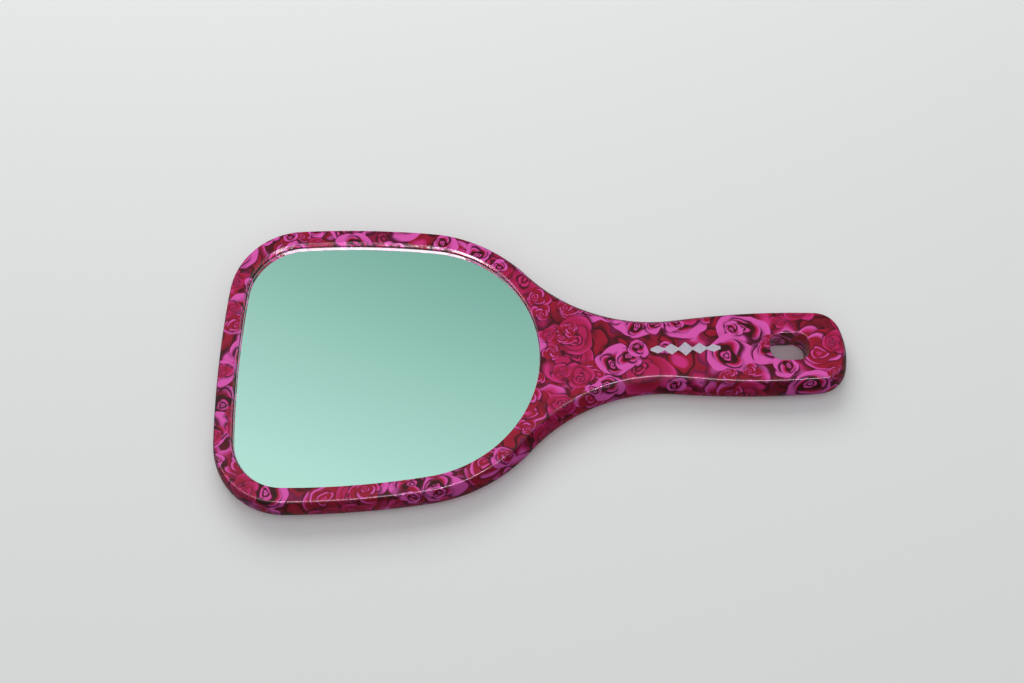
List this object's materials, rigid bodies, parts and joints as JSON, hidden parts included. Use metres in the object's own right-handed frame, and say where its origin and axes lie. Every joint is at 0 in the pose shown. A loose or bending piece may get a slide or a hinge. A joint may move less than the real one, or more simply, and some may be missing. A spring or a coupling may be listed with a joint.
{
  "type": "hand mirror",
  "caption": "Paddle-shaped hand mirror with a recessed mirror glass, a rounded two-shell plastic body and a waisted handle with a hanging slot.",
  "frame": {"origin": "under the middle of the object's length and width, on the surface that its back lies on", "axes": "+X along the length from the head towards the handle end, +Y across, +Z out of the mirror side"},
  "size_m": [0.34, 0.165, 0.0171],
  "materials": {
    "printed_front": "pink, crimson and burgundy rose print under a clear gloss coat",
    "printed_back": "the same rose print under a clear gloss coat",
    "mirror": "clear float glass with a ground edge, silvered on its underside",
    "silver": "mirror silver",
    "lacquer": "matt grey protective lacquer",
    "foam_tape": "white closed-cell foam with adhesive on both faces",
    "foil": "hot-stamped silver foil"
  },
  "bodies": {
    "root": {"front_frame": "printed_front", "back_cover": "printed_back", "mirror_glass": "mirror", "silver_coating": "silver", "protective_backing": "lacquer", "glass_tape_1": "foam_tape", "glass_tape_2": "foam_tape", "glass_tape_3": "foam_tape", "glass_tape_4": "foam_tape", "foil_ornament": "foil"}
  },
  "joints": []
}
